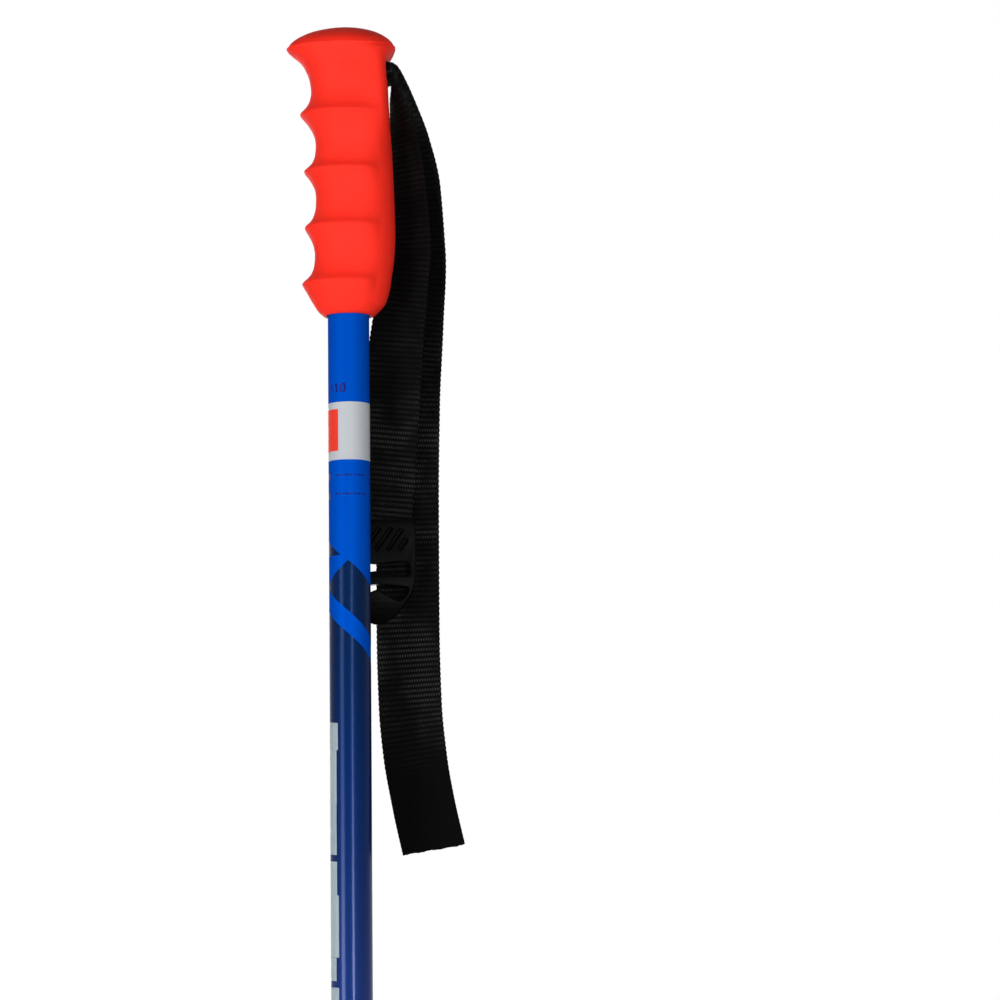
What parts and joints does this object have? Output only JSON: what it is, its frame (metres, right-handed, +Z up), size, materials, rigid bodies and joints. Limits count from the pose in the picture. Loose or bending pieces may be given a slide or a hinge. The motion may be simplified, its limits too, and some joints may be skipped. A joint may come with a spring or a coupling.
{
  "type": "ski pole",
  "caption": "Straight alpine ski pole: painted tube, soft ridged grip with a buckled wrist strap, round basket and hard tip.",
  "frame": {"origin": "middle of the flat end of the hard tip, on the axis of the shaft", "axes": "+Z up the shaft to the top of the grip, +X towards the back of the grip where the strap hangs, +Y completes a right-handed frame"},
  "size_m": [0.075, 0.06, 1.1],
  "materials": {
    "shaft": "gloss paint, blue fading to navy",
    "core": "moulded",
    "grip": "soft matte",
    "pin": "turned",
    "webbing": "ribbed woven webbing",
    "thread": "sewing thread",
    "buckle": "moulded, semi-matte",
    "ferrule": "moulded, semi-matte",
    "tip": "ground hard metal",
    "basket": "moulded, slightly flexible"
  },
  "bodies": {
    "pole": {"shaft_tube": "shaft", "grip_core": "core", "grip_body": "grip", "strap_pin": "pin", "strap_bend": "webbing", "tip_ferrule": "ferrule", "tip_insert": "tip"},
    "long_leg": {"strap_long_leg": "webbing"},
    "short_leg": {"strap_short_leg": "webbing", "strap_turn_back": "webbing", "strap_stitching": "thread"},
    "buckle": {"strap_buckle": "buckle"},
    "basket": {"basket": "basket"}
  },
  "joints": [
    {"name": "long_leg_swing", "type": "hinge", "parent": "pole", "child": "long_leg", "pos_m": [0.01845, 0, 1.0848], "axis": [0, -1, 0], "range_deg": [0, 90]},
    {"name": "short_leg_swing", "type": "hinge", "parent": "pole", "child": "short_leg", "pos_m": [0.01805, 0, 1.0792], "axis": [0, -1, 0], "range_deg": [0, 90]},
    {"name": "buckle_rock", "type": "hinge", "parent": "short_leg", "child": "buckle", "pos_m": [0.01035, 0.0158, 0.897], "axis": [1, 0, 0], "range_deg": [-5, 5]},
    {"name": "basket_spin", "type": "hinge", "parent": "pole", "child": "basket", "pos_m": [0, 0, 0.066], "axis": [0, 0, 1], "continuous": true}
  ],
  "couplings": [
    {"joint": "short_leg_swing", "follows": "long_leg_swing", "ratio": 1}
  ]
}
